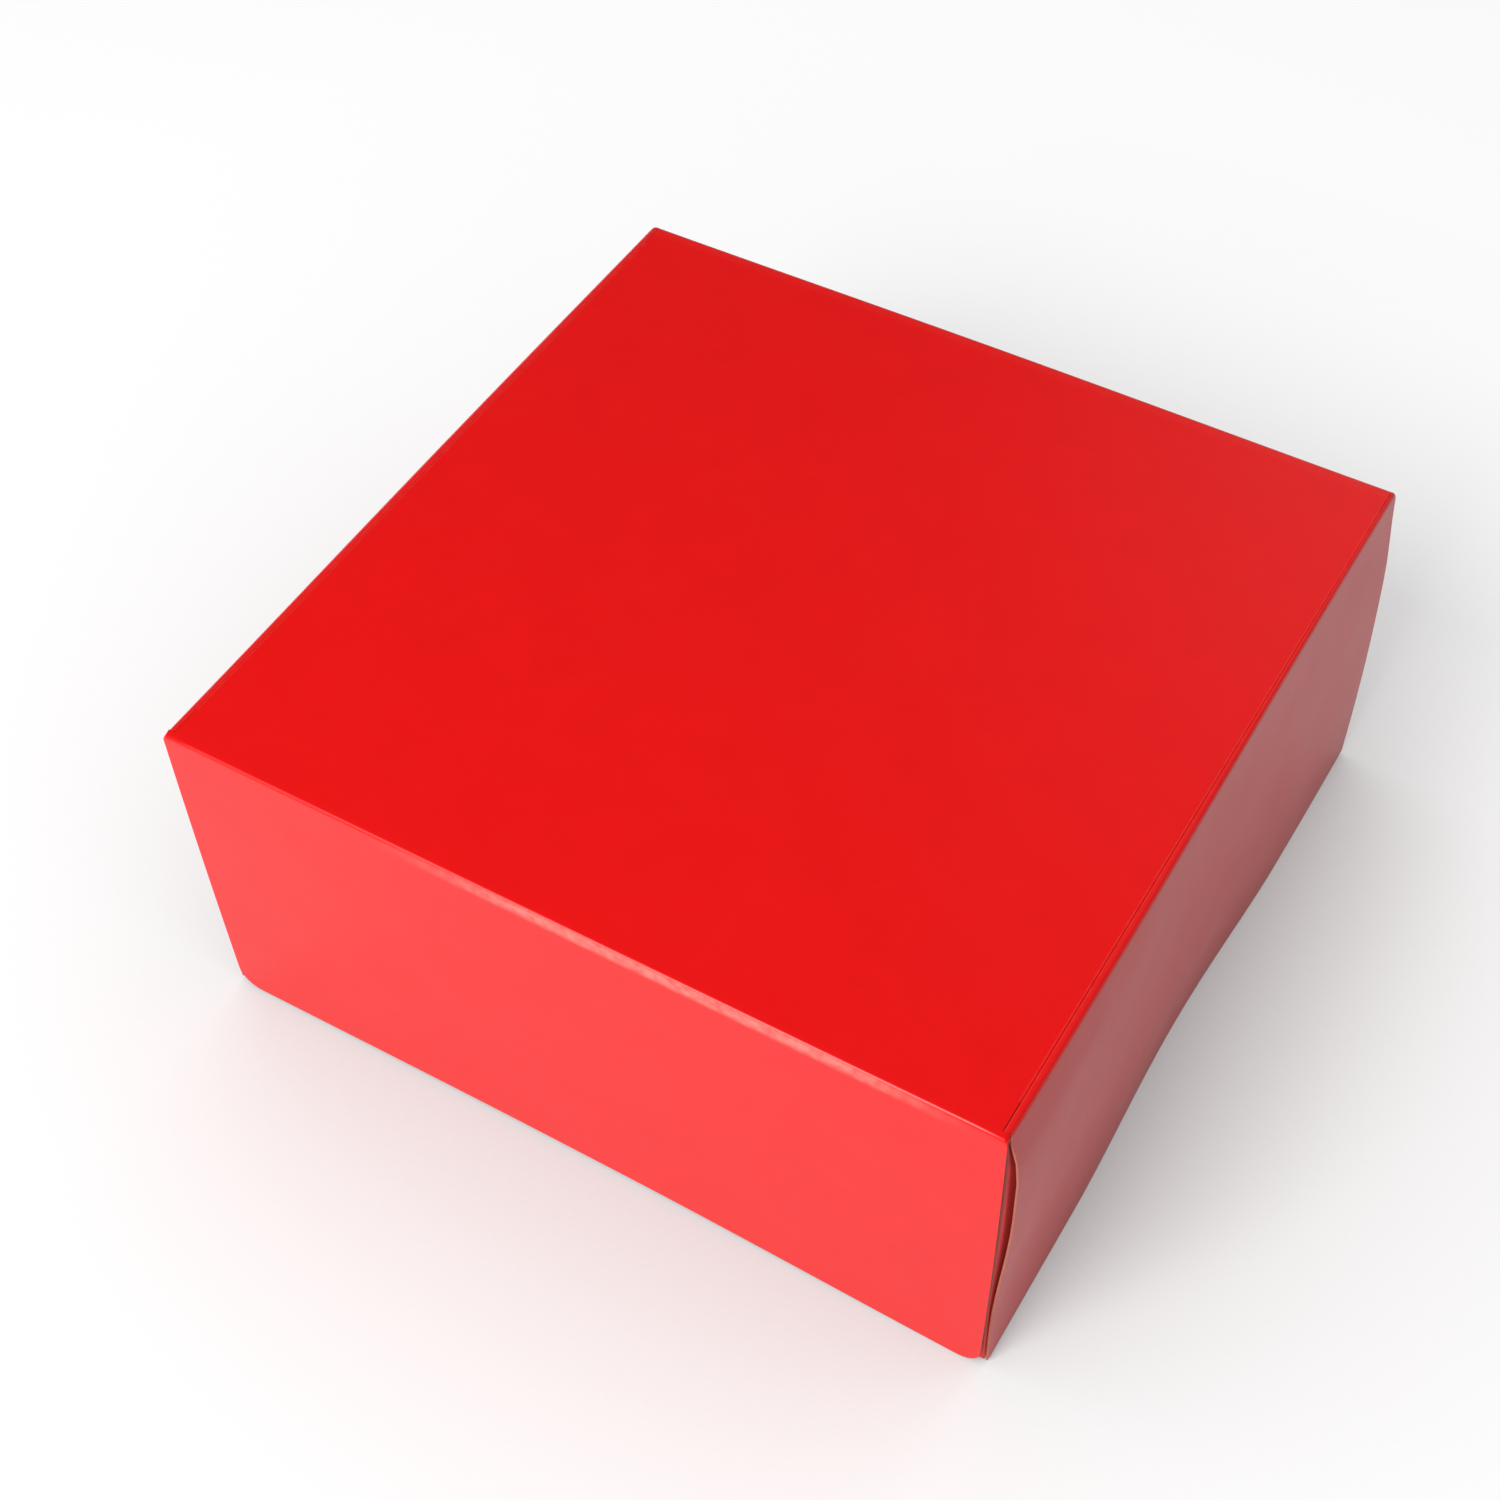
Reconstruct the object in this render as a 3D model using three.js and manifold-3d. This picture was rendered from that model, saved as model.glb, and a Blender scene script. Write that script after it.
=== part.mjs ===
// A cake box folded from one sheet of red-laminated board: a tray with double side walls that roll
// over at the top, and a lid hinged on the back wall, with a flap that hangs outside the front.
// Millimetres, +Z up, front towards -Y. The origin is under the middle of the shut box, on the table.

import * as THREE from "three";
import { mergeVertices } from "three/addons/utils/BufferGeometryUtils.js";
import Module from "manifold-3d";

// Driving dimensions
const INSIDE_WIDTH = 258.5; // clear width between the inner side walls, for a 10 inch cake board
const INSIDE_DEPTH = 255; // clear depth between the front and back walls
const BOX_HEIGHT = 120; // from the table to the top of the shut lid
const BOARD = 0.6; // thickness of the board
const FOLD_RADIUS = 0.9; // outside radius of a fold
const LAYER_GAP = 0.3; // air between boards that lie against each other or meet at a crease
const LID_CLEARANCE = 0.5; // air between the lid and the walls that it slides past
const RIM_SETBACK = 1.2; // how far a rolled rim stops short of the ends of its outer wall
const EAR_LENGTH = 92; // how far an ear reaches back from its wall
const EAR_TAPER = 9; // how much lower an ear is at its free end
const EAR_CORNER = 12; // radius of an ear's free corners
const TAB_LENGTH = 42; // length of a lock tab at its root
const TAB_TAPER = 0.2; // how much a lock tab narrows towards its tip, at each end
const TAB_SPACING = 130; // between the middles of the two tabs of an inner wall
const TAB_TIP_HEIGHT = 0.1; // how far a lock tab's tip stays above the table
const FLAP_FOOT_HEIGHT = 1.5; // how far the front flap stops above the table
const FLAP_CORNER = 8; // radius of the front flap's lower corners
const DUST_FLAP_END_GAP = 9.5; // between an end of a dust flap's crease and the wall beside it
const DUST_FLAP_DEPTH = 70; // how far a dust flap hangs inside the box
const DUST_FLAP_TAPER = 12; // how much a dust flap draws in at each end towards its free edge
const DUST_FLAP_CORNER = 14; // radius of a dust flap's free corners
const ARC_STEPS = 8; // straight steps in a fold or a rounded corner
const RED = 0xe5191b;

// Outward faces of the boards, measured from the middle of the inside
const innerWallFace = INSIDE_WIDTH / 2 + BOARD;
const earFace = innerWallFace + LAYER_GAP + BOARD;
const outerWallFace = earFace + LAYER_GAP + BOARD;
const endWallFace = INSIDE_DEPTH / 2 + BOARD;
const frontFlapFace = endWallFace + LID_CLEARANCE + BOARD;
const dustFlapFace = INSIDE_WIDTH / 2 - LID_CLEARANCE;
const flapHalfWidth = outerWallFace - LID_CLEARANCE;
const dustFlapHalfLength = INSIDE_DEPTH / 2 - DUST_FLAP_END_GAP;

// Levels above the table
const wallFoot = FOLD_RADIUS + LAYER_GAP;
const innerWallFoot = BOARD + LAYER_GAP;
const panelTop = BOX_HEIGHT - FOLD_RADIUS - LAYER_GAP;
const earTop = panelTop - LAYER_GAP;

const wasm = await Module();
wasm.setup();

function solidOf(geometry) {
  const bare = geometry.clone();
  bare.deleteAttribute("normal");
  bare.deleteAttribute("uv");
  const merged = mergeVertices(bare);
  return new wasm.Manifold(
    new wasm.Mesh({
      numProp: 3,
      vertProperties: new Float32Array(merged.attributes.position.array),
      triVerts: new Uint32Array(merged.index.array),
    }),
  );
}

function geometryOf(solid) {
  const mesh = solid.getMesh();
  const geometry = new THREE.BufferGeometry();
  geometry.setAttribute("position", new THREE.BufferAttribute(mesh.vertProperties, mesh.numProp));
  geometry.setIndex(new THREE.BufferAttribute(mesh.triVerts, 1));
  geometry.computeVertexNormals();
  return geometry;
}

function joined(...geometries) {
  return geometryOf(geometries.map(solidOf).reduce((whole, piece) => whole.add(piece)));
}

function cutBy(geometry, holes) {
  return geometryOf(holes.map(solidOf).reduce((left, hole) => left.subtract(hole), solidOf(geometry)));
}

// An arc takes two steps for each of its curve segments.
function extrude(shape, depth) {
  return new THREE.ExtrudeGeometry(shape, { depth, bevelEnabled: false, curveSegments: ARC_STEPS / 2 });
}

// A closed outline through the corners [x, y, radius], each rounded to its radius.
function outline(corners) {
  const shape = new THREE.Shape();
  corners.forEach(([x, y, radius = 0], index) => {
    const corner = new THREE.Vector2(x, y);
    const before = corners.at(index - 1);
    const after = corners[(index + 1) % corners.length];
    const back = new THREE.Vector2(before[0], before[1]).sub(corner).normalize();
    const on = new THREE.Vector2(after[0], after[1]).sub(corner).normalize();
    if (radius === 0) {
      index === 0 ? shape.moveTo(x, y) : shape.lineTo(x, y);
      return;
    }
    const halfAngle = Math.acos(back.dot(on)) / 2;
    const start = corner.clone().addScaledVector(back, radius / Math.tan(halfAngle));
    const middle = back.clone().add(on).setLength(radius / Math.sin(halfAngle)).add(corner);
    const end = corner.clone().addScaledVector(on, radius / Math.tan(halfAngle));
    index === 0 ? shape.moveTo(start.x, start.y) : shape.lineTo(start.x, start.y);
    const startAngle = Math.atan2(start.y - middle.y, start.x - middle.x);
    const endAngle = Math.atan2(end.y - middle.y, end.x - middle.x);
    shape.absarc(middle.x, middle.y, radius, startAngle, endAngle, back.cross(on) > 0);
  });
  return shape;
}

// The section of a board that lies from one end to the other on the x axis and turns up in a quarter
// fold at each end, or runs out flat there.
function foldedSection(start, end, foldStart = true, foldEnd = true) {
  const inner = FOLD_RADIUS - BOARD;
  const left = start + FOLD_RADIUS;
  const right = end - FOLD_RADIUS;
  const shape = new THREE.Shape();
  shape.moveTo(foldStart ? left : start, 0);
  if (foldEnd) {
    shape.lineTo(right, 0);
    shape.absarc(right, FOLD_RADIUS, FOLD_RADIUS, -Math.PI / 2, 0, false);
    shape.lineTo(end - BOARD, FOLD_RADIUS);
    shape.absarc(right, FOLD_RADIUS, inner, 0, -Math.PI / 2, true);
  } else {
    shape.lineTo(end, 0);
    shape.lineTo(end, BOARD);
  }
  if (foldStart) {
    shape.lineTo(left, BOARD);
    shape.absarc(left, FOLD_RADIUS, inner, -Math.PI / 2, -Math.PI, true);
    shape.lineTo(start, FOLD_RADIUS);
    shape.absarc(left, FOLD_RADIUS, FOLD_RADIUS, -Math.PI, -Math.PI / 2, false);
  } else {
    shape.lineTo(start, BOARD);
  }
  return shape;
}

// A section swept along a length, centred on it. The section's x and y go to the axes given.
function sweep(shape, length, xAxis, yAxis) {
  const along = xAxis.clone().cross(yAxis);
  return extrude(shape, length)
    .translate(0, 0, -length / 2)
    .applyMatrix4(new THREE.Matrix4().makeBasis(xAxis, yAxis, along));
}

const RIGHT = new THREE.Vector3(1, 0, 0);
const BACK = new THREE.Vector3(0, 1, 0);
const UP = new THREE.Vector3(0, 0, 1);
const DOWN = new THREE.Vector3(0, 0, -1);

function panel(name, geometry) {
  const board = new THREE.MeshStandardMaterial({ color: RED, roughness: 0.3, metalness: 0 });
  const mesh = new THREE.Mesh(geometry, board);
  mesh.name = name;
  return mesh;
}

// An upright board that faces the front, with its outward face at a distance from the middle. The
// outline's x runs to the right and its y upwards.
function uprightPanel(name, shape, face) {
  const mesh = panel(name, extrude(shape, BOARD));
  mesh.rotation.x = Math.PI / 2;
  mesh.position.y = BOARD - face;
  return mesh;
}

// The box's four sides: groups that turn what is built facing the front to each side.
function sideGroup(turns) {
  const group = new THREE.Group();
  group.rotation.z = (turns * Math.PI) / 2;
  return group;
}

// The floor, with the folds up to all four walls and the slots for the lock tabs
function basePanel() {
  const depthwise = sweep(foldedSection(-endWallFace, endWallFace), 2 * (earFace - FOLD_RADIUS), BACK, UP);
  const widthwise = sweep(
    foldedSection(-outerWallFace, outerWallFace),
    2 * (endWallFace - FOLD_RADIUS),
    RIGHT,
    UP,
  );
  const slots = [];
  for (const side of [-1, 1]) {
    for (const end of [-1, 1]) {
      const slot = new THREE.BoxGeometry(BOARD + 2 * LAYER_GAP, TAB_LENGTH + 2 * LAYER_GAP, 4 * BOARD);
      slot.translate(side * (innerWallFace - BOARD / 2), (end * TAB_SPACING) / 2, BOARD / 2);
      slots.push(slot);
    }
  }
  return panel("base_panel", cutBy(joined(depthwise, widthwise), slots));
}

// The front or back wall, with the folds at its ends that turn back into the ears
function endWall(name) {
  const mesh = panel(name, extrude(foldedSection(-earFace, earFace), panelTop - wallFoot));
  mesh.position.set(0, -endWallFace, wallFoot);
  return mesh;
}

function outerWall(name) {
  const wall = outline([
    [-endWallFace, wallFoot],
    [endWallFace, wallFoot],
    [endWallFace, panelTop],
    [-endWallFace, panelTop],
  ]);
  return uprightPanel(name, wall, outerWallFace);
}

// An inner side wall, with the two tabs along its foot that lock it into the floor
function innerWall(name) {
  const end = INSIDE_DEPTH / 2 - LAYER_GAP;
  const corners = [[-end, innerWallFoot]];
  for (const middle of [-TAB_SPACING / 2, TAB_SPACING / 2]) {
    const half = TAB_LENGTH / 2;
    corners.push([middle - half, innerWallFoot]);
    corners.push([middle - half + TAB_TAPER, TAB_TIP_HEIGHT]);
    corners.push([middle + half - TAB_TAPER, TAB_TIP_HEIGHT]);
    corners.push([middle + half, innerWallFoot]);
  }
  corners.push([end, innerWallFoot], [end, panelTop], [-end, panelTop]);
  return uprightPanel(name, outline(corners), innerWallFace);
}

// The rolled-over strip that joins the tops of an outer and an inner side wall
function rim(name) {
  const roll = foldedSection(INSIDE_WIDTH / 2, outerWallFace);
  const mesh = panel(name, sweep(roll, 2 * (endWallFace - RIM_SETBACK), BACK.clone().negate(), DOWN));
  mesh.position.z = BOX_HEIGHT;
  return mesh;
}

// An ear between the two side walls; end is -1 or 1 for the end of the side that it starts from.
function ear(name, end) {
  const root = endWallFace - FOLD_RADIUS - LAYER_GAP;
  const tip = root - EAR_LENGTH;
  const shape = outline([
    [end * root, wallFoot],
    [end * tip, wallFoot, EAR_CORNER],
    [end * tip, earTop - EAR_TAPER, EAR_CORNER],
    [end * root, earTop],
  ]);
  return uprightPanel(name, shape, earFace);
}

// The lid's top panel, with the folds to the back wall, the front flap and the two dust flaps
function lidPanel() {
  const flatHalfWidth = dustFlapFace - FOLD_RADIUS;
  const shoulder = RIM_SETBACK - LID_CLEARANCE;
  const frontFold = frontFlapFace - FOLD_RADIUS;
  const top = foldedSection(-frontFold, endWallFace, false, true);
  const crosswise = foldedSection(-dustFlapFace, dustFlapFace);
  const front = foldedSection(-frontFlapFace, -endWallFace + shoulder, true, false);
  const mesh = panel(
    "lid_panel",
    joined(
      sweep(top, 2 * flatHalfWidth, BACK, DOWN),
      sweep(crosswise, 2 * dustFlapHalfLength, RIGHT, DOWN),
      sweep(front, 2 * flapHalfWidth, BACK, DOWN),
    ),
  );
  mesh.position.z = BOX_HEIGHT;
  return mesh;
}

function frontFlap() {
  const shape = outline([
    [-flapHalfWidth, FLAP_FOOT_HEIGHT, FLAP_CORNER],
    [flapHalfWidth, FLAP_FOOT_HEIGHT, FLAP_CORNER],
    [flapHalfWidth, panelTop],
    [-flapHalfWidth, panelTop],
  ]);
  return uprightPanel("front_flap", shape, frontFlapFace);
}

function dustFlap(name) {
  const half = dustFlapHalfLength;
  const foot = panelTop - DUST_FLAP_DEPTH;
  const shape = outline([
    [-half + DUST_FLAP_TAPER, foot, DUST_FLAP_CORNER],
    [half - DUST_FLAP_TAPER, foot, DUST_FLAP_CORNER],
    [half, panelTop],
    [-half, panelTop],
  ]);
  return uprightPanel(name, shape, dustFlapFace);
}

const box = new THREE.Group();
box.position.y = (frontFlapFace - endWallFace) / 2;

const [front, right, back, left] = [0, 1, 2, 3].map(sideGroup);
front.add(endWall("front_wall"), frontFlap());
back.add(endWall("back_wall"));
right.add(ear("front_right_ear", -1), ear("back_right_ear", 1));
left.add(ear("back_left_ear", -1), ear("front_left_ear", 1));
for (const [side, word] of [
  [right, "right"],
  [left, "left"],
]) {
  side.add(outerWall(`${word}_outer_wall`), rim(`${word}_rim`), innerWall(`${word}_inner_wall`));
  side.add(dustFlap(`${word}_dust_flap`));
}
box.add(basePanel(), front, right, back, left, lidPanel());

export default box;
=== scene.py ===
"""A cake box folded from one sheet of red gloss-laminated board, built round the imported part.

Every panel is a sheet drawn by carrying a row of edges on and turning it round the folds, bowed as
thin board bows, and then given its thickness with a red outside, a white inside and a cut edge.
"""

import math

import bmesh
import bpy
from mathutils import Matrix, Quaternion, Vector
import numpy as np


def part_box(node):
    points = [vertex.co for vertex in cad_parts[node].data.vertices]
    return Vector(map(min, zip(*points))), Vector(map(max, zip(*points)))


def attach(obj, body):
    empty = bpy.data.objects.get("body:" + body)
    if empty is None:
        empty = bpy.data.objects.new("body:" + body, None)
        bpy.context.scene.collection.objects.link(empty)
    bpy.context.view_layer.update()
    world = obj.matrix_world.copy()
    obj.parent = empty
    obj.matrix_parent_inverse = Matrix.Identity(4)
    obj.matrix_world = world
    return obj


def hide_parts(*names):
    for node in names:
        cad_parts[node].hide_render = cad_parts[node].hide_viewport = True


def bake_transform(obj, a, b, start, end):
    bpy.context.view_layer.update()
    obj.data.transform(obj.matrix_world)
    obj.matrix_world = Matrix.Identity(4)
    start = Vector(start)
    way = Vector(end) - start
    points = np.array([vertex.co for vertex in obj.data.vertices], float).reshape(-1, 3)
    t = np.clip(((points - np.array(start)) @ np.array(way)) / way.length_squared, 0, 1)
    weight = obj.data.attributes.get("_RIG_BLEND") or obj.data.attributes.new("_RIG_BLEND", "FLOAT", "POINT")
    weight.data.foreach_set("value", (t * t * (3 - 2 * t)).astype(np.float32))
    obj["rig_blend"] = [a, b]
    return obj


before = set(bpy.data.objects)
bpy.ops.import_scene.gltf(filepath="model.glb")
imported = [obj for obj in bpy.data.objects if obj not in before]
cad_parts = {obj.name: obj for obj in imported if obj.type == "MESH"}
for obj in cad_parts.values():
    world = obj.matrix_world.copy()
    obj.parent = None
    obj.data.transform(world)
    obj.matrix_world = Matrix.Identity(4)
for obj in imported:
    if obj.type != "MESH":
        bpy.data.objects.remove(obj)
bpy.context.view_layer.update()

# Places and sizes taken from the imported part, in metres
lid_low, lid_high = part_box("lid_panel")
flap_low, flap_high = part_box("front_flap")
wall_low, wall_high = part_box("right_outer_wall")
rim_low, rim_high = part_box("right_rim")
dust_low, dust_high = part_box("right_dust_flap")
front_low, front_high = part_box("front_wall")
ear_low, ear_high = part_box("front_right_ear")
base_low, base_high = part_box("base_panel")
back_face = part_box("back_wall")[1].y
board = flap_high.y - flap_low.y
top = lid_high.z
middle_y = (dust_low.y + dust_high.y) / 2

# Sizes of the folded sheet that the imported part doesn't hold, in metres
MM = 0.001
FOLD = 1.3 * MM  # outside radius of a plain fold
FRONT_FOLD = 1.0 * MM  # and of the lid's front fold
HINGE_FOLD = 2 * MM  # and of its rear fold
SIDE_FOLD = 0.66 * MM  # the lid's side folds and the rims' inner folds meet in a thin seam
RIM_FOLD = 1.7 * MM  # outer fold of a rolled rim
PRESSED = 0.22  # share of its radius by which a tight fold's outside is squarer than round
MARGIN = 0.8 * MM  # a short step beside a fold, which keeps the fold's shading off the flat
SEAM = 0.08 * MM  # between a dust flap and the side wall that it slides into
HINGE_LIP = 2.5 * MM  # how far the back wall's sheet reaches onto the lid
FLAP_CORNER = 7 * MM
EAR_CORNER = 12 * MM
EAR_TAPER = 9 * MM
DUST_CORNER = 14 * MM
DUST_TAPER = 12 * MM
DUST_BEND = 1.4 * MM  # length of the board below its fold that bends as a dust flap turns
TAB_LENGTH = 42 * MM
TAB_SPACING = 130 * MM
TAB_CLEARANCE = 0.1 * MM  # between a lock tab's end and the table
SLOT_GAP = 0.3 * MM

# Steps that the sheets are drawn in
COLUMNS = 26  # across a panel
ROWS = 13  # up a panel
EAR_COLUMNS = 6
EAR_ROWS = 8
DUST_COLUMNS = 16
DUST_ROWS = 4
BAND_ROWS = 5
FOLD_STEPS = 8
CORNER_STEPS = 6
RIM_CUTS = (0.6, 1)  # shares of a rim's fold at which the lid's front corners are cut, to dip with it
HINGE_CUTS = (0, 0.4, 0.7, 0.9)  # shares of the hinge's fold at which a rim is cut, to dip with it
SAME_PLACE = 1e-6
CUT_SNAP = 1e-7  # a corner this close to a cut lies on it

# Wear of the film, and a painted highlight along the lid's front fold, from 0 to 1
FOLD_WEAR = 0.1
FOLD_END_WEAR = 0.4  # share of a fold's wear that is left where it ends
RIM_WEAR = 0.03
CREASE_BAND = 4.4 * MM  # depth of the pale band below the front fold, a painted highlight where the film is stretched most
BAND_START = (-1, -0.3)  # where the band sets in above the fold's end, as shares of the fold
BAND_END = (0.45, 1)  # where it fades below that, as shares of its depth
BAND_LEFT = (-0.5, 0)  # where it sets in along the fold, as shares of half the fold's length
BAND_RIGHT = (0.6, 0.95)  # where it fades along the fold

dust_face = rim_low.x - SEAM
lid_edge = dust_face - SEAM
front_crease = lid_low.y + FRONT_FOLD
shoulder = front_crease + MARGIN
front_top = top - FRONT_FOLD - MARGIN

# How far each side wall stands out of true, in metres: the swelling of its front and rear edges, its
# foot drawn in half-way along, and the lean of its top
BOWS = {
    -1: {"front": 1.0 * MM, "rear": 0.7 * MM, "foot": -0.6 * MM,
         "top_front": 0, "top_middle": 0.6 * MM, "top_rear": 0},
    1: {"front": 3.3 * MM, "rear": 1.7 * MM, "foot": -2.0 * MM,
        "top_front": 0.1 * MM, "top_middle": 0, "top_rear": -1.4 * MM},
}
# Where each bow lies, as shares of the wall's length from the front and of its height: from and to, or
# for a hump its middle and its reach
FRONT_ALONG = (0, 0.5)
FRONT_FROM_FOOT = (0.15, 0.7)
FRONT_TO_TOP = (0.86, 1)
REAR_ALONG = (0.45, 0.95)
REAR_HUMP = (0.38, 0.75)
LEAN_ALONG = (0.2, 0.95)
LEAN_HUMP = (0.55, 0.5)
LEAN_UP = (0.7, 1)
FOOT_HUMP = (0.5, 0.28)
FOOT_UP = (0, 0.4)
EAR_GIVE = 0.42  # share of the swelling that reaches the ears
INNER_GIVE = 0.6  # share of the foot's draw that reaches the inner board
BASE_GIVE = 12 * MM  # width of the strip of the base that is drawn in with the foot
LID_CROWN = 0.4 * MM
REAR_RISE = 0.8 * MM  # the hinge fold stands this much higher in its middle
END_DIP = 8 * MM  # depth over which the end of a fold gives way to the fold that it runs into
BACK_BOW = 0.8 * MM
FLAP_TOP_SPREAD = {-1: 0.45 * MM, 1: 0.55 * MM}  # how far out the flap's edges are at its fold
FLAP_FOOT_SPREAD = -1.3 * MM  # and at its foot
FLAP_LEAN = 0.7 * MM  # its fold stands this far in front of the box
FLAP_STAND = {-1: 0.4 * MM, 1: 1.0 * MM}  # its lower corners stand this far off the front
FLAP_STAND_FROM = 0.1  # share of its half width at which they begin to
FLAP_FOOT_LINE = (0.4 * MM, -0.48 * MM, -1.22 * MM)  # rise, slope and curve of its lower edge

RED_SIDE, WHITE_SIDE, CUT_EDGE = 0, 1, 2


# Materials


def linear(code):
    """A colour written as sRGB hex, as linear RGBA."""
    channels = [int(code[i:i + 2], 16) / 255 for i in (1, 3, 5)]
    return [c / 12.92 if c <= 0.04045 else ((c + 0.055) / 1.055) ** 2.4 for c in channels] + [1]


def per_mm(size):
    """The scale of a pattern whose features are this many millimetres across."""
    return 1 / (size * MM)


def add(tree, kind, settings, inputs):
    """Adds a node with its settings, and its inputs as values or links."""
    made = tree.nodes.new(kind)
    for name, value in settings.items():
        setattr(made, name, value)
    for name, value in inputs.items():
        if isinstance(value, bpy.types.NodeSocket):
            tree.links.new(value, made.inputs[name])
        else:
            made.inputs[name].default_value = value
    return made


def new_material(name):
    material = bpy.data.materials.new(name)
    material.use_nodes = True
    material.node_tree.nodes.clear()
    return material, material.node_tree


def gloss_laminated_board():
    """Red ink under a clear gloss film: an even red, a little cloudy where the ink lies on the board,
    with the film's fine orange peel in the reflections, paler where a fold has stretched it, and a
    painted highlight: a pale band below the lid's front fold."""
    material, tree = new_material("red_gloss_laminated_board")
    place = add(tree, "ShaderNodeTexCoord", {}, {}).outputs["Object"]
    clouds = add(tree, "ShaderNodeTexNoise", {},
                 {"Vector": place, "Scale": per_mm(14), "Detail": 3.0})
    ink = add(tree, "ShaderNodeMix", {"data_type": "RGBA"},
              {0: clouds.outputs["Fac"], 6: linear("#E70506"), 7: linear("#EF0708")})
    fold_mark = add(tree, "ShaderNodeAttribute", {"attribute_name": "fold"}, {})
    patches = add(tree, "ShaderNodeTexNoise", {},
                  {"Vector": place, "Scale": per_mm(3), "Detail": 4.0})
    mottle = add(tree, "ShaderNodeMapRange", {}, {
        "Value": patches.outputs["Fac"], "From Min": 0.35, "From Max": 0.65, "To Min": 0.45,
    })
    stretch_and_highlight = add(tree, "ShaderNodeMath", {"operation": "MULTIPLY"},
                    {0: fold_mark.outputs["Fac"], 1: mottle.outputs["Result"]})
    # paler where marked: the folds' wear, and the painted highlight in the band below the front fold
    colour = add(tree, "ShaderNodeMix", {"data_type": "RGBA"},
                 {0: stretch_and_highlight.outputs["Value"], 6: ink.outputs[2], 7: linear("#F47F74")})
    haze = add(tree, "ShaderNodeTexNoise", {},
               {"Vector": place, "Scale": per_mm(22), "Detail": 2.0})
    roughness = add(tree, "ShaderNodeMapRange", {},
                    {"Value": haze.outputs["Fac"], "To Min": 0.34, "To Max": 0.41})
    peel = add(tree, "ShaderNodeTexNoise", {},
               {"Vector": place, "Scale": per_mm(2.2), "Detail": 2.0})
    bump = add(tree, "ShaderNodeBump", {},
               {"Height": peel.outputs["Fac"], "Strength": 1.0, "Distance": 0.012 * MM})
    shader = add(tree, "ShaderNodeBsdfPrincipled", {}, {
        "Base Color": colour.outputs[2],
        "Roughness": roughness.outputs["Result"],
        "Normal": bump.outputs["Normal"],
        "IOR": 1.46,
    })
    add(tree, "ShaderNodeOutputMaterial", {}, {"Surface": shader.outputs[0]})
    return material


def uncoated_inside():
    """The board's bare white back: matt and a little warm, with short fibres and a few grey flecks."""
    material, tree = new_material("white_uncoated_board")
    place = add(tree, "ShaderNodeTexCoord", {}, {}).outputs["Object"]
    clouds = add(tree, "ShaderNodeTexNoise", {},
                 {"Vector": place, "Scale": per_mm(18), "Detail": 5.0})
    pulp = add(tree, "ShaderNodeMix", {"data_type": "RGBA"},
               {0: clouds.outputs["Fac"], 6: linear("#E9E5DC"), 7: linear("#F3F0E9")})
    fibres = add(tree, "ShaderNodeTexNoise", {},
                 {"Vector": place, "Scale": per_mm(1.4), "Detail": 6.0})
    fleck = add(tree, "ShaderNodeMapRange", {}, {
        "Value": fibres.outputs["Fac"], "From Min": 0.68, "From Max": 0.74, "To Max": 0.35,
    })
    colour = add(tree, "ShaderNodeMix", {"data_type": "RGBA"},
                 {0: fleck.outputs["Result"], 6: pulp.outputs[2], 7: linear("#B9AE9C")})
    bump = add(tree, "ShaderNodeBump", {},
               {"Height": fibres.outputs["Fac"], "Strength": 1.0, "Distance": 0.03 * MM})
    shader = add(tree, "ShaderNodeBsdfPrincipled", {}, {
        "Base Color": colour.outputs[2],
        "Roughness": 0.85,
        "Normal": bump.outputs["Normal"],
        "IOR": 1.45,
    })
    add(tree, "ShaderNodeOutputMaterial", {}, {"Surface": shader.outputs[0]})
    return material


def cut_pulp():
    """The die-cut edge of the board: matt pulp, coloured a darker, redder tan than bare pulp as painted
    shade, since its thin edges lie in shade.
    """
    material, tree = new_material("cut_pulp_edge")
    place = add(tree, "ShaderNodeTexCoord", {}, {}).outputs["Object"]
    plies = add(tree, "ShaderNodeTexNoise", {},
                {"Vector": place, "Scale": per_mm(0.8), "Detail": 4.0})
    # painted shade: the pulp's tan is darker and redder than the bare board's core
    colour = add(tree, "ShaderNodeMix", {"data_type": "RGBA"},
                 {0: plies.outputs["Fac"], 6: linear("#AE5A4A"), 7: linear("#C27A64")})
    bump = add(tree, "ShaderNodeBump", {},
               {"Height": plies.outputs["Fac"], "Strength": 1.0, "Distance": 0.05 * MM})
    shader = add(tree, "ShaderNodeBsdfPrincipled", {}, {
        "Base Color": colour.outputs[2],
        "Roughness": 0.9,
        "Normal": bump.outputs["Normal"],
        "IOR": 1.45,
    })
    add(tree, "ShaderNodeOutputMaterial", {}, {"Surface": shader.outputs[0]})
    return material


FINISHES = [gloss_laminated_board(), uncoated_inside(), cut_pulp()]


# Drawing a sheet


def new_sheet():
    sheet = bmesh.new()
    sheet.verts.layers.float.new("fold")
    sheet.verts.layers.float.new("pressed")
    return sheet


def corners_of(edges):
    return list({corner: None for edge in edges for corner in edge.verts})


def row(sheet, start, end, steps):
    """The straight row of edges that a sheet starts from."""
    edge = sheet.edges.new([sheet.verts.new(start), sheet.verts.new(end)])
    bmesh.ops.subdivide_edges(sheet, edges=[edge], cuts=steps - 1)
    return sheet.edges[:]


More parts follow.
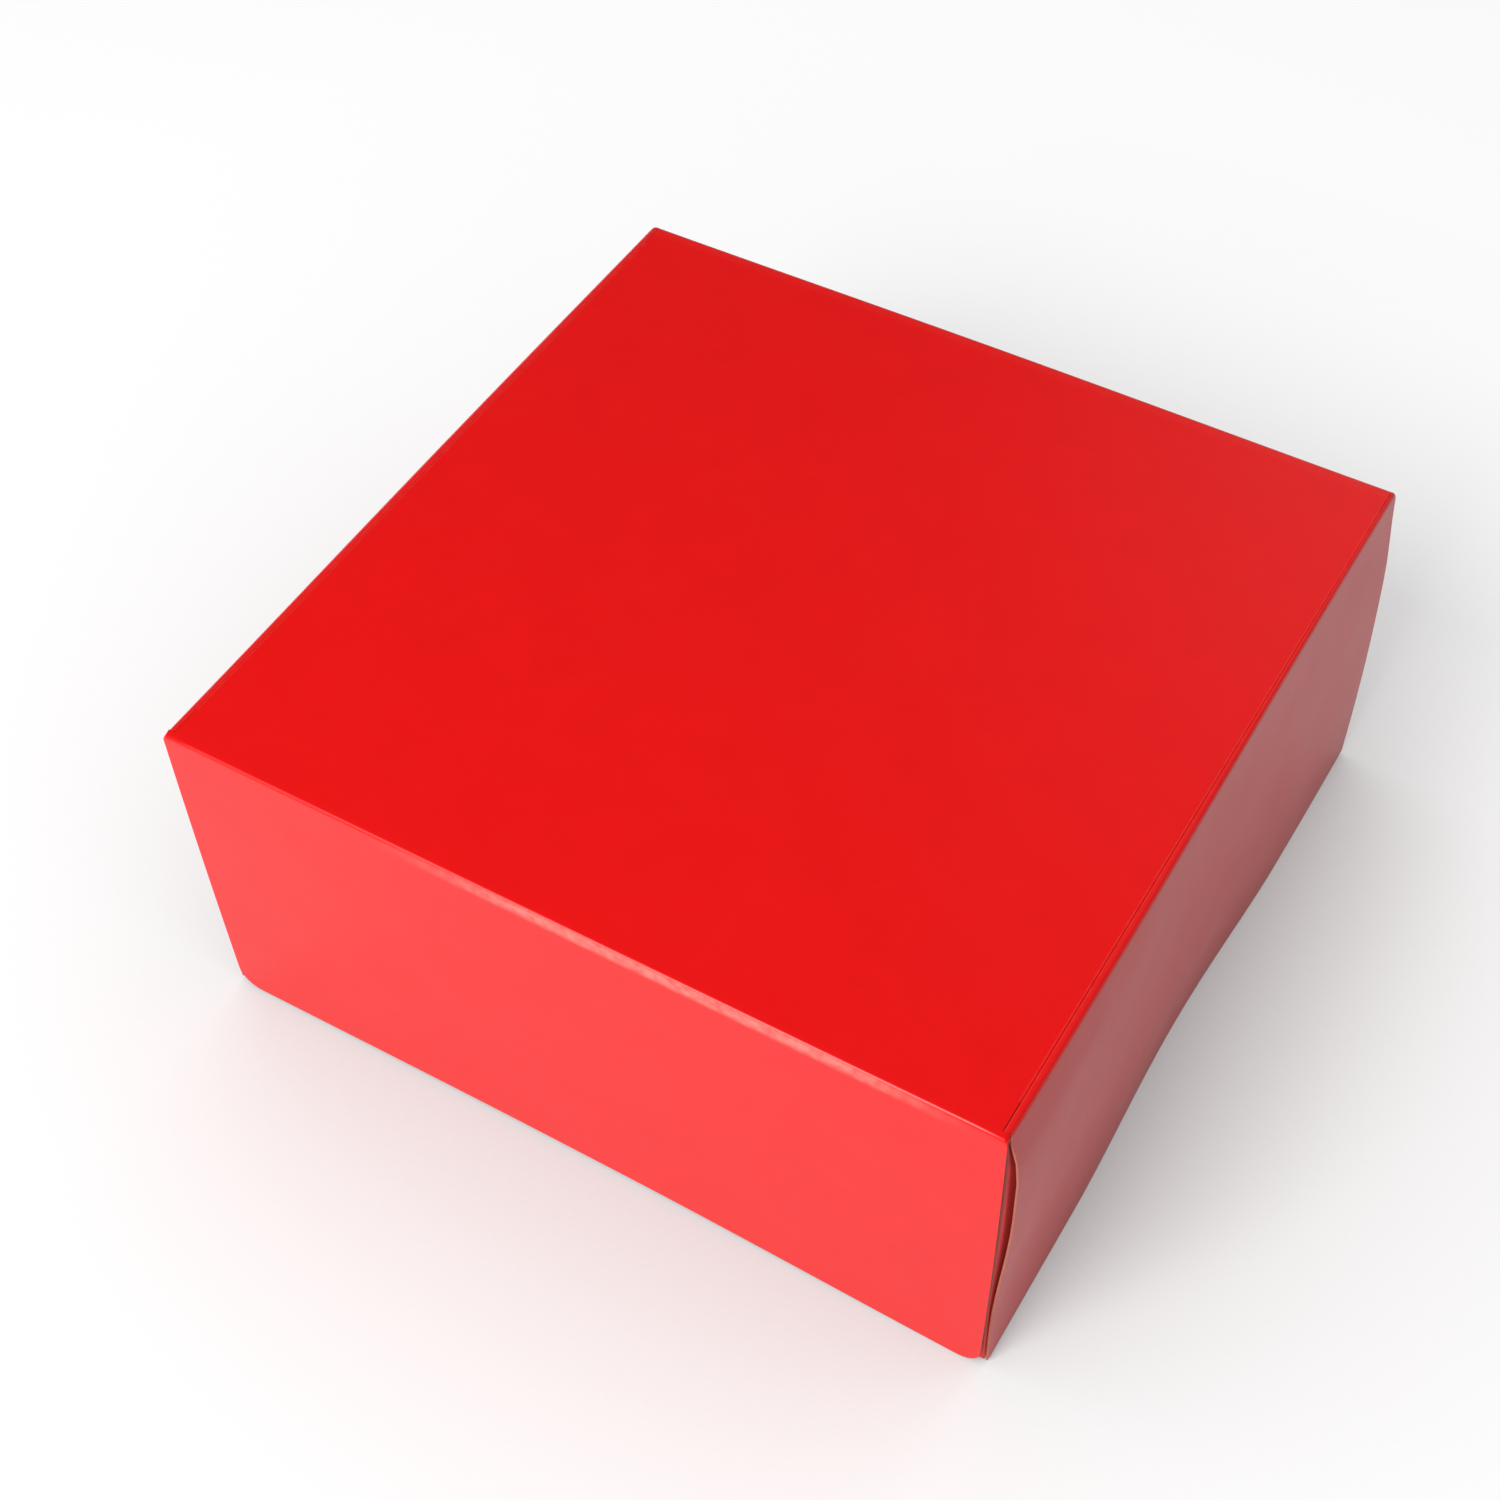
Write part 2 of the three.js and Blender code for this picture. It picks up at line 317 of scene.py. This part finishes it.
def run(sheet, edges, way, steps, margins=(True, True)):
    """Carries the sheet on flat from its edge, with a short step beside a fold before or after."""
    way = Vector(way)
    flat = (way.length - MARGIN * sum(margins)) / steps
    for step in [MARGIN] * margins[0] + [flat] * steps + [MARGIN] * margins[1]:
        made = bmesh.ops.extrude_edge_only(sheet, edges=edges)["geom"]
        edges = [item for item in made if isinstance(item, bmesh.types.BMEdge)]
        bmesh.ops.translate(sheet, verts=corners_of(edges), vec=way.normalized() * step)
    return edges


def radial(place, centre, axis):
    """The way straight out from a fold's axis to a place."""
    arm = place - Vector(centre)
    return arm - arm.project(Vector(axis))


def fold(sheet, edges, centre, axis, angle=90, pressed=0, wear_and_highlight=FOLD_WEAR):
    """Turns the sheet's edge round a fold and marks the corners that it leaves there."""
    mark = sheet.verts.layers.float["fold"]
    press = sheet.verts.layers.float["pressed"]
    before = set(sheet.verts)
    start = radial(edges[0].verts[0].co, centre, axis)
    turned = bmesh.ops.spin(sheet, geom=edges + corners_of(edges), cent=centre, axis=axis,
                            angle=math.radians(angle), steps=FOLD_STEPS)["geom_last"]
    for corner in set(sheet.verts) - before:
        corner[mark] = wear_and_highlight
        turned_by = start.angle(radial(corner.co, centre, axis))
        corner[press] = pressed * start.length * math.sin(2 * turned_by) ** 2
    edges = [item for item in turned if isinstance(item, bmesh.types.BMEdge)]
    for corner in corners_of(edges):
        corner[mark] = FOLD_END_WEAR * wear_and_highlight
    return edges


def slit(sheet, place, normal, within=None):
    """Cuts new edges into the sheet along a plane, everywhere or in the faces that a test picks."""
    faces = [face for face in sheet.faces if within is None or within(face.calc_center_median())]
    parts = {part: None for face in faces for part in (*face.verts, *face.edges, face)}
    bmesh.ops.bisect_plane(sheet, geom=list(parts), dist=CUT_SNAP, plane_co=place, plane_no=normal)


def remove(sheet, test):
    """Removes the faces whose middles pass a test."""
    faces = [face for face in sheet.faces if test(face.calc_center_median())]
    bmesh.ops.delete(sheet, geom=faces, context="FACES")


def round_corners(sheet, corners, radius):
    bmesh.ops.bevel(sheet, geom=corners, offset=radius, offset_type="OFFSET", segments=CORNER_STEPS,
                    profile=0.5, affect="VERTICES", material=-1, clamp_overlap=True)


def finish(name, sheet, outward, *nodes):
    """Gives a sheet its thickness and its three finishes, as the piece that stands for CAD nodes."""
    sheet.normal_update()
    outward = Vector(outward)
    if sum(face.normal.dot(outward) * face.calc_area() for face in sheet.faces) < 0:
        bmesh.ops.reverse_faces(sheet, faces=sheet.faces[:])
    red_faces = set(sheet.faces)
    red_corners = {corner: corner.normal.copy() for corner in sheet.verts}
    bmesh.ops.solidify(sheet, geom=sheet.faces[:], thickness=board)
    press = sheet.verts.layers.float["pressed"]
    for corner, normal in red_corners.items():
        corner.co += normal * corner[press]
    for face in sheet.faces:
        face.smooth = True
        if face in red_faces:
            face.material_index = RED_SIDE
        elif red_corners.keys().isdisjoint(face.verts):
            face.material_index = WHITE_SIDE
        else:
            face.material_index = CUT_EDGE
    for edge in sheet.edges:
        edge.smooth = len({face.material_index for face in edge.link_faces}) == 1
    mesh = bpy.data.meshes.new(name)
    sheet.to_mesh(mesh)
    sheet.free()
    for finish_material in FINISHES:
        mesh.materials.append(finish_material)
    piece = bpy.data.objects.new(name, mesh)
    bpy.context.scene.collection.objects.link(piece)
    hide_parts(*nodes)
    return piece


# How the board bows


def clamped(value):
    return max(0, min(1, value))


def eased(value, start, end):
    """How far a value has gone from start to end, eased at both ends."""
    way = clamped((value - start) / (end - start))
    return way * way * (3 - 2 * way)


def hump(value, middle, reach):
    """A smooth hump: 1 at its middle and 0 from its reach on."""
    way = min(1, abs(value - middle) / reach)
    return (1 - way * way) ** 2


def dip(reach, radius):
    """How far a fold has dropped at a place this far past where it starts to turn."""
    return radius - math.sqrt(radius ** 2 - min(max(0, reach), radius) ** 2)


def near_top(corner):
    """1 at the level of the lid, down to 0 below the ends of the folds."""
    return clamped(1 - (top - corner.co.z) / END_DIP)


def bow(corner, swell, outer, foot):
    """Moves a corner of a side wall out of true, by its shares of the swelling, lean and drawn foot."""
    side = math.copysign(1, corner.co.x)
    amounts = BOWS[side]
    along = (corner.co.y - wall_low.y) / (wall_high.y - wall_low.y)
    up = corner.co.z / top
    pinched = eased(up, *FRONT_TO_TOP) + (1 - eased(up, *FRONT_FROM_FOOT))
    swelling = amounts["front"] * (1 - pinched) * (1 - eased(along, *FRONT_ALONG))
    swelling += amounts["rear"] * hump(up, *REAR_HUMP) * eased(along, *REAR_ALONG)
    lean_gain = amounts["top_rear"] - amounts["top_front"]
    lean = amounts["top_front"] + lean_gain * eased(along, *LEAN_ALONG)
    lean += amounts["top_middle"] * hump(along, *LEAN_HUMP)
    drawn = amounts["foot"] * hump(along, *FOOT_HUMP) * (1 - eased(up, *FOOT_UP))
    corner.co.x += side * (swell * swelling + outer * lean * eased(up, *LEAN_UP) + foot * drawn)


def bow_walls(sheet):
    """Bows the boards of a side wall: the outer one swells, and the ears and the inner one give way."""
    ear_depth = front_high.x - rim_low.x
    width = rim_high.x - rim_low.x
    for corner in sheet.verts:
        depth = abs(corner.co.x) - rim_low.x
        if depth > -SEAM:
            outer = clamped(depth / width)
            swell = EAR_GIVE * clamped((depth - ear_depth) / FOLD + 1)
            swell += (1 - EAR_GIVE) * clamped((depth - ear_depth) / (width - ear_depth))
            bow(corner, swell, outer, INNER_GIVE + (1 - INNER_GIVE) * outer)


# The panels


def lid_and_flap():
    """The lid's top, its front fold and the flap that hangs outside the front."""
    half = lid_high.x
    rear = lid_high.y - HINGE_FOLD - HINGE_LIP
    crease = top - FRONT_FOLD
    flap_depth = crease - flap_low.z
    sheet = new_sheet()
    edges = row(sheet, (-half, rear, top), (half, rear, top), COLUMNS)
    edges = run(sheet, edges, (0, front_crease - rear, 0), COLUMNS, (False, True))
    edges = fold(sheet, edges, (0, front_crease, crease), (1, 0, 0))
    edges = run(sheet, edges, (0, 0, -CREASE_BAND), BAND_ROWS, (False, False))
    edges = run(sheet, edges, (0, 0, CREASE_BAND - flap_depth), ROWS, (False, False))
    round_corners(sheet, [c for c in corners_of(edges) if abs(c.co.x) > half - MARGIN], FLAP_CORNER)

    def on_lid(middle):
        return middle.y > shoulder

    def in_front(middle):
        return middle.y < shoulder

    dust_fold = dust_face - SIDE_FOLD
    for side in (-1, 1):
        for edge in (lid_edge, dust_fold):
            slit(sheet, (side * edge, 0, 0), (1, 0, 0), on_lid)
        for share in RIM_CUTS:
            slit(sheet, (side * (rim_high.x - share * RIM_FOLD), 0, 0), (1, 0, 0), in_front)
    for end in (dust_low.y, dust_high.y):
        slit(sheet, (0, end, 0), (0, 1, 0), on_lid)

    def spare(middle):
        beside_flap = dust_low.y < middle.y < dust_high.y
        return on_lid(middle) and abs(middle.x) > (dust_fold if beside_flap else lid_edge)

    remove(sheet, spare)
    wear_and_highlight = sheet.verts.layers.float["fold"]
    rise_of_foot, slope_of_foot, curve_of_foot = FLAP_FOOT_LINE
    for corner in sheet.verts:
        across = corner.co.x / half
        if corner.co.y > shoulder - MARGIN / 2:
            rise = LID_CROWN * hump(corner.co.y, middle_y, rear - middle_y)
            rise += REAR_RISE * eased(corner.co.y, middle_y, rear)
            corner.co.z += rise * hump(across, 0, 1)
        else:
            below = crease - corner.co.z
            down = clamped(below / flap_depth)
            side = math.copysign(1, across)
            drawn = down ** 2
            spread = FLAP_TOP_SPREAD[side] * (1 - drawn) + FLAP_FOOT_SPREAD * drawn
            corner.co.x += across * spread
            end_dip = near_top(corner) * dip(abs(corner.co.x) - (rim_high.x - RIM_FOLD), RIM_FOLD)
            stand = FLAP_STAND[side] * eased(abs(across), FLAP_STAND_FROM, 1)
            corner.co.y -= down * stand + (1 - down) * FLAP_LEAN
            # The pale band below the front fold is a painted highlight, laid where the fold stretches the
            # film
            if corner.co.y < front_crease - MARGIN:
                corner[wear_and_highlight] = eased(across, *BAND_LEFT) * (1 - eased(across, *BAND_RIGHT))
                corner[wear_and_highlight] *= eased(below / FRONT_FOLD, *BAND_START)
                corner[wear_and_highlight] *= 1 - eased(below / CREASE_BAND, *BAND_END)
            foot_line = rise_of_foot + slope_of_foot * across + curve_of_foot * across ** 2
            corner.co.z += down * foot_line - end_dip
    piece = finish("lid_and_front_flap_board", sheet, (0, 0, 1), "lid_panel", "front_flap")
    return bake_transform(piece, "lid", "front_flap", start=(0, front_crease, top),
                    end=(0, lid_low.y, top - FRONT_FOLD))


def dust_flap(side, word):
    """A dust flap and its fold under the lid's side."""
    crease = side * (dust_face - SIDE_FOLD)
    turn = top - SIDE_FOLD
    sheet = new_sheet()
    edges = row(sheet, (crease, dust_low.y, top), (crease, dust_high.y, top), DUST_COLUMNS)
    edges = fold(sheet, edges, (crease, 0, turn), (0, side, 0), pressed=PRESSED)
    edges = run(sheet, edges, (0, 0, -DUST_BEND), FOLD_STEPS, (False, False))
    edges = run(sheet, edges, (0, 0, dust_low.z - turn + DUST_BEND), DUST_ROWS, (False, False))
    half = (dust_high.y - dust_low.y) / 2
    for corner in sheet.verts:
        share = max(0, turn - corner.co.z) / (turn - dust_low.z)
        corner.co.y = middle_y + (corner.co.y - middle_y) * (1 - share * DUST_TAPER / half)
    free = [c for c in corners_of(edges) if abs(c.co.y - middle_y) > half - DUST_TAPER - MARGIN]
    round_corners(sheet, free, DUST_CORNER)
    piece = finish(f"{word}_dust_flap_board", sheet, (side, 0, 0), f"{word}_dust_flap")
    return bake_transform(piece, "lid", f"{word}_dust_flap", start=(side * dust_face, 0, turn),
                    end=(side * dust_face, 0, turn - DUST_BEND))


def back_wall():
    """The back wall and the fold at its top that hinges the lid."""
    half = front_high.x - FOLD
    crease = top - HINGE_FOLD
    sheet = new_sheet()
    foot = base_low.z + FOLD
    edges = row(sheet, (-half, back_face, foot), (half, back_face, foot), COLUMNS)
    edges = run(sheet, edges, (0, 0, crease - FOLD - base_low.z), ROWS)
    edges = fold(sheet, edges, (0, back_face - HINGE_FOLD, crease), (1, 0, 0))
    run(sheet, edges, (0, -HINGE_LIP, 0), 1, (True, False))
    for corner in sheet.verts:
        if corner.co.z > crease - MARGIN / 2:
            over = (corner.co.z - crease) / HINGE_FOLD
            corner.co.z += over * REAR_RISE * hump(corner.co.x / lid_high.x, 0, 1)
            corner.co.x = max(-lid_edge, min(lid_edge, corner.co.x))
        else:
            up_hump = hump(corner.co.z, top / 2, top / 2 - FOLD)
            corner.co.y += BACK_BOW * hump(corner.co.x, 0, half) * up_hump
    piece = finish("back_wall_board", sheet, (0, 1, 0), "back_wall")
    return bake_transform(piece, "tray", "lid", start=(0, back_face, crease),
                    end=(0, back_face - HINGE_FOLD, top))


def taper_ears(sheet, high, root, way):
    """Draws the ears' tops down towards their free ends, which lie the way given from the root."""
    foot = base_low.z + FOLD
    length = ear_high.y - ear_low.y
    for corner in sheet.verts:
        share = max(0, (corner.co.y - root) * way) / length
        fall = EAR_TAPER * share
        corner.co.z -= fall * (corner.co.z - foot) / (high - foot)


def front_wall():
    """The front wall, with its ends folded back into the two ears between the side walls."""
    foot = base_low.z + FOLD
    face = front_high.x
    root = front_low.y + FOLD
    tip = ear_high.y
    sheet = new_sheet()
    edges = row(sheet, (-face, tip, foot), (-face, tip, front_top), EAR_ROWS)
    first = corners_of(edges)
    edges = run(sheet, edges, (0, root - tip, 0), EAR_COLUMNS, (False, True))
    edges = fold(sheet, edges, (FOLD - face, root, 0), (0, 0, 1))
    edges = run(sheet, edges, (2 * (face - FOLD), 0, 0), COLUMNS)
    edges = fold(sheet, edges, (face - FOLD, root, 0), (0, 0, 1))
    edges = run(sheet, edges, (0, tip - root, 0), EAR_COLUMNS, (True, False))
    tips = first + corners_of(edges)
    ends = [c for c in tips if c.co.z < foot + MARGIN or c.co.z > front_top - MARGIN]
    taper_ears(sheet, front_top, root, 1)
    round_corners(sheet, ends, EAR_CORNER)
    bow_walls(sheet)
    piece = finish("front_wall_board", sheet, (0, -1, 0), "front_wall", "front_left_ear",
                   "front_right_ear")
    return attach(piece, "tray")


def back_ear(side, word):
    """An ear folded forwards from an end of the back wall."""
    foot = base_low.z + FOLD
    high = top - HINGE_FOLD
    seam = side * (front_high.x - FOLD)
    root = back_face - FOLD
    sheet = new_sheet()
    edges = row(sheet, (seam, back_face, foot), (seam, back_face, high), EAR_ROWS)
    edges = fold(sheet, edges, (seam, root, 0), (0, 0, -side))
    edges = run(sheet, edges, (0, ear_low.y - ear_high.y, 0), EAR_COLUMNS, (True, False))
    ends = [c for c in corners_of(edges) if c.co.z < foot + MARGIN or c.co.z > high - MARGIN]
    taper_ears(sheet, high, root, -1)
    round_corners(sheet, ends, EAR_CORNER)
    bow_walls(sheet)
    piece = finish(f"back_{word}_ear_board", sheet, (side, 0, 0), f"back_{word}_ear")
    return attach(piece, "tray")


def side_wall(side, word):
    """A side wall: the outer board, the rolled rim and the inner board with its two lock tabs."""
    foot = base_low.z + FOLD
    outside = side * wall_high.x
    inside = side * rim_low.x
    rim_turn = outside - side * RIM_FOLD
    inner_turn = inside + side * SIDE_FOLD
    axis = (0, -side, 0)
    sheet = new_sheet()
    edges = row(sheet, (outside, wall_low.y, foot), (outside, wall_high.y, foot), COLUMNS)
    edges = run(sheet, edges, (0, 0, top - RIM_FOLD - foot), ROWS)
    edges = fold(sheet, edges, (rim_turn, 0, top - RIM_FOLD), axis, wear_and_highlight=RIM_WEAR)
    edges = run(sheet, edges, (inner_turn - rim_turn, 0, 0), 1, (False, False))
    edges = fold(sheet, edges, (inner_turn, 0, top - SIDE_FOLD), axis, pressed=PRESSED)
    run(sheet, edges, (0, 0, base_low.z + board - (top - SIDE_FOLD)), ROWS)

    def on_inner_board(place):
        return abs(place.x) < rim_low.x + MARGIN / 4

    for corner in sheet.verts:
        if on_inner_board(corner.co):
            corner.co.y = max(rim_low.y, min(rim_high.y, corner.co.y))
        if abs(corner.co.x) < wall_high.x - MARGIN / 10:
            corner.co.y = max(shoulder + SEAM, corner.co.y)
    for tab in (-1, 1):
        for end in (-1, 1):
            place = middle_y + tab * TAB_SPACING / 2 + end * TAB_LENGTH / 2
            slit(sheet, (0, place, 0), (0, 1, 0), on_inner_board)
    tab_edges = []
    for edge in sheet.edges:
        middle = (edge.verts[0].co + edge.verts[1].co) / 2
        if edge.is_boundary and on_inner_board(middle) and middle.z < foot:
            if abs(abs(middle.y - middle_y) - TAB_SPACING / 2) < TAB_LENGTH / 2:
                tab_edges.append(edge)
    run(sheet, tab_edges, (0, 0, TAB_CLEARANCE - board), 1, (False, False))
    turn = back_face - HINGE_FOLD
    for share in HINGE_CUTS:
        slit(sheet, (0, turn + share * HINGE_FOLD, 0), (0, 1, 0))
    for corner in sheet.verts:
        corner.co.z -= near_top(corner) * dip(corner.co.y - turn, HINGE_FOLD)
    bow_walls(sheet)
    piece = finish(f"{word}_side_wall_board", sheet, (0, 0, 1), f"{word}_outer_wall", f"{word}_rim",
                   f"{word}_inner_wall")
    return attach(piece, "tray")


def base():
    """The floor of the tray, with the folds up to its walls and the slots that hold the lock tabs."""
    low = base_low + Vector((FOLD, FOLD, 0))
    high = base_high - Vector((FOLD, FOLD, 0))
    sheet = new_sheet()
    edges = row(sheet, (low.x, low.y, low.z), (high.x, low.y, low.z), COLUMNS)
    run(sheet, edges, (0, high.y - low.y, 0), COLUMNS)
    for index, place, axis, angle in (
        (1, low.y, (1, 0, 0), -90), (1, high.y, (1, 0, 0), 90),
        (0, low.x, (0, 1, 0), 90), (0, high.x, (0, 1, 0), -90),
    ):
        def at_side(edge):
            return edge.is_boundary and all(
                abs(corner.co[index] - place) < SAME_PLACE and corner.co.z < low.z + SAME_PLACE
                for corner in edge.verts)

        centre = Vector((0, 0, low.z + FOLD))
        centre[index] = place
        fold(sheet, [edge for edge in sheet.edges if at_side(edge)], centre, axis, angle)

    def on_floor(middle):
        return middle.z < low.z + MARGIN / 2

    slot_middle = rim_low.x + board / 2
    slot_half = board / 2 + SLOT_GAP
    slot_reach = TAB_LENGTH / 2 + SLOT_GAP
    for side in (-1, 1):
        for edge in (-1, 1):
            slit(sheet, (side * slot_middle + edge * slot_half, 0, 0), (1, 0, 0), on_floor)
    for tab in (-1, 1):
        for end in (-1, 1):
            place = middle_y + tab * TAB_SPACING / 2 + end * slot_reach
            slit(sheet, (0, place, 0), (0, 1, 0), on_floor)

    def in_slot(middle):
        in_width = abs(abs(middle.x) - slot_middle) < slot_half
        in_length = abs(abs(middle.y - middle_y) - TAB_SPACING / 2) < slot_reach
        return on_floor(middle) and in_width and in_length

    remove(sheet, in_slot)
    for corner in sheet.verts:
        share = clamped(1 - (high.x - abs(corner.co.x)) / BASE_GIVE)
        bow(corner, share, share, share)
    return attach(finish("base_board", sheet, (0, 0, -1), "base_panel"), "tray")


lid_and_flap()
back_wall()
front_wall()
base()
for side, word in ((-1, "left"), (1, "right")):
    dust_flap(side, word)
    back_ear(side, word)
    side_wall(side, word)


# The studio

# A plain white floor that rises to a low backdrop, a soft light from the front left, a dim panel behind
# the box that lies on the lid as a faint sheen, and a dim surround, with lengths in metres
FLOOR_RADIUS = 3.4
FLOOR_SIDES = 96
COVE_RADIUS = 0.6
COVE_STEPS = 8
BACKDROP_RISE = 0.3
FLOOR_WHITE = 0.6
SEEN_WHITE = 0.38  # the floor's white for the eye and in reflections, before the lift up to full white
FLOOR_LIFT = 0.68
SHADE_REACH = 0.3  # the lift is less this near to the box, which keeps its soft shadow
WORLD_STRENGTH = 0.12
# Each lamp's name, direction from the box, distance, size and power in watts
LAMPS = (
    ("key", Vector((-0.12, -0.68, 0.72)), 2.6, 1.3, 77),
    ("back_panel", Vector((0.12, 0.8, 0.6)), 1.6, 0.9, 1.8),
)

scene = bpy.context.scene
scene.view_settings.view_transform = "Standard"

floor_material, floor_tree = new_material("white_paper_floor")
floor_material.cycles.emission_sampling = "NONE"
rays = add(floor_tree, "ShaderNodeLightPath", {}, {}).outputs
mirrored = add(floor_tree, "ShaderNodeMath", {"operation": "ADD"},
               {0: rays["Is Glossy Ray"], 1: rays["Is Transmission Ray"]})
seen = add(floor_tree, "ShaderNodeMath", {"operation": "ADD", "use_clamp": True},
           {0: rays["Is Camera Ray"], 1: mirrored.outputs[0]})
shade = add(floor_tree, "ShaderNodeAmbientOcclusion", {}, {"Distance": SHADE_REACH})
shaded = add(floor_tree, "ShaderNodeMath", {"operation": "MULTIPLY"},
             {0: seen.outputs[0], 1: shade.outputs["AO"]})
lift = add(floor_tree, "ShaderNodeMath", {"operation": "MULTIPLY"},
           {0: shaded.outputs[0], 1: FLOOR_LIFT})
white = add(floor_tree, "ShaderNodeMapRange", {},
            {"Value": seen.outputs[0], "To Min": FLOOR_WHITE, "To Max": SEEN_WHITE})
paper = add(floor_tree, "ShaderNodeBsdfDiffuse", {}, {"Color": white.outputs["Result"]})
glow = add(floor_tree, "ShaderNodeEmission", {}, {"Strength": lift.outputs[0]})
floor_shader = add(floor_tree, "ShaderNodeAddShader", {}, {0: paper.outputs[0], 1: glow.outputs[0]})
add(floor_tree, "ShaderNodeOutputMaterial", {}, {"Surface": floor_shader.outputs[0]})

floor_shape = bmesh.new()
bmesh.ops.create_circle(floor_shape, cap_ends=True, radius=FLOOR_RADIUS, segments=FLOOR_SIDES)
edges = floor_shape.edges[:]
for step in range(COVE_STEPS + 1):
    made = bmesh.ops.extrude_edge_only(floor_shape, edges=edges)["geom"]
    edges = [item for item in made if isinstance(item, bmesh.types.BMEdge)]
    turn = math.radians(90) * min(step + 1, COVE_STEPS) / COVE_STEPS
    radius = FLOOR_RADIUS + COVE_RADIUS * math.sin(turn)
    height = COVE_RADIUS * (1 - math.cos(turn)) + (BACKDROP_RISE if step == COVE_STEPS else 0)
    for corner in corners_of(edges):
        flat = Vector((corner.co.x, corner.co.y, 0)).normalized() * radius
        corner.co = (flat.x, flat.y, height)
for face in floor_shape.faces:
    face.smooth = True
floor_mesh = bpy.data.meshes.new("floor")
floor_shape.to_mesh(floor_mesh)
floor_shape.free()
floor_mesh.materials.append(floor_material)
floor = bpy.data.objects.new("floor", floor_mesh)
scene.collection.objects.link(floor)

world = bpy.data.worlds.new("studio")
world.use_nodes = True
world.node_tree.nodes["Background"].inputs["Color"].default_value = (1, 1, 1, 1)
world.node_tree.nodes["Background"].inputs["Strength"].default_value = WORLD_STRENGTH
scene.world = world

for name, way, distance, size, power in LAMPS:
    lamp_data = bpy.data.lights.new(name, "AREA")
    lamp_data.size = size
    lamp_data.energy = power
    lamp = bpy.data.objects.new(name, lamp_data)
    lamp.location = way.normalized() * distance
    lamp.rotation_euler = (-way).to_track_quat("-Z", "Y").to_euler()
    scene.collection.objects.link(lamp)

# The camera, placed by the edges of the box in the photograph
EYE = Vector((0.25096, -0.42675, 0.64536))
AIM = Vector((-0.01321, -0.01075, 0.06))
ROLL = 2.207  # degrees
LENS = 59.945  # mm, on the sensor's width
SENSOR_WIDTH = 36

camera_data = bpy.data.cameras.new("camera")
camera_data.lens = LENS
camera_data.sensor_width = SENSOR_WIDTH
camera = bpy.data.objects.new("camera", camera_data)
camera.location = EYE
camera.rotation_mode = "QUATERNION"
view_way = AIM - EYE
roll_turn = Quaternion(view_way.normalized(), math.radians(ROLL))
camera.rotation_quaternion = roll_turn @ view_way.to_track_quat("-Z", "Y")
scene.collection.objects.link(camera)
scene.camera = camera
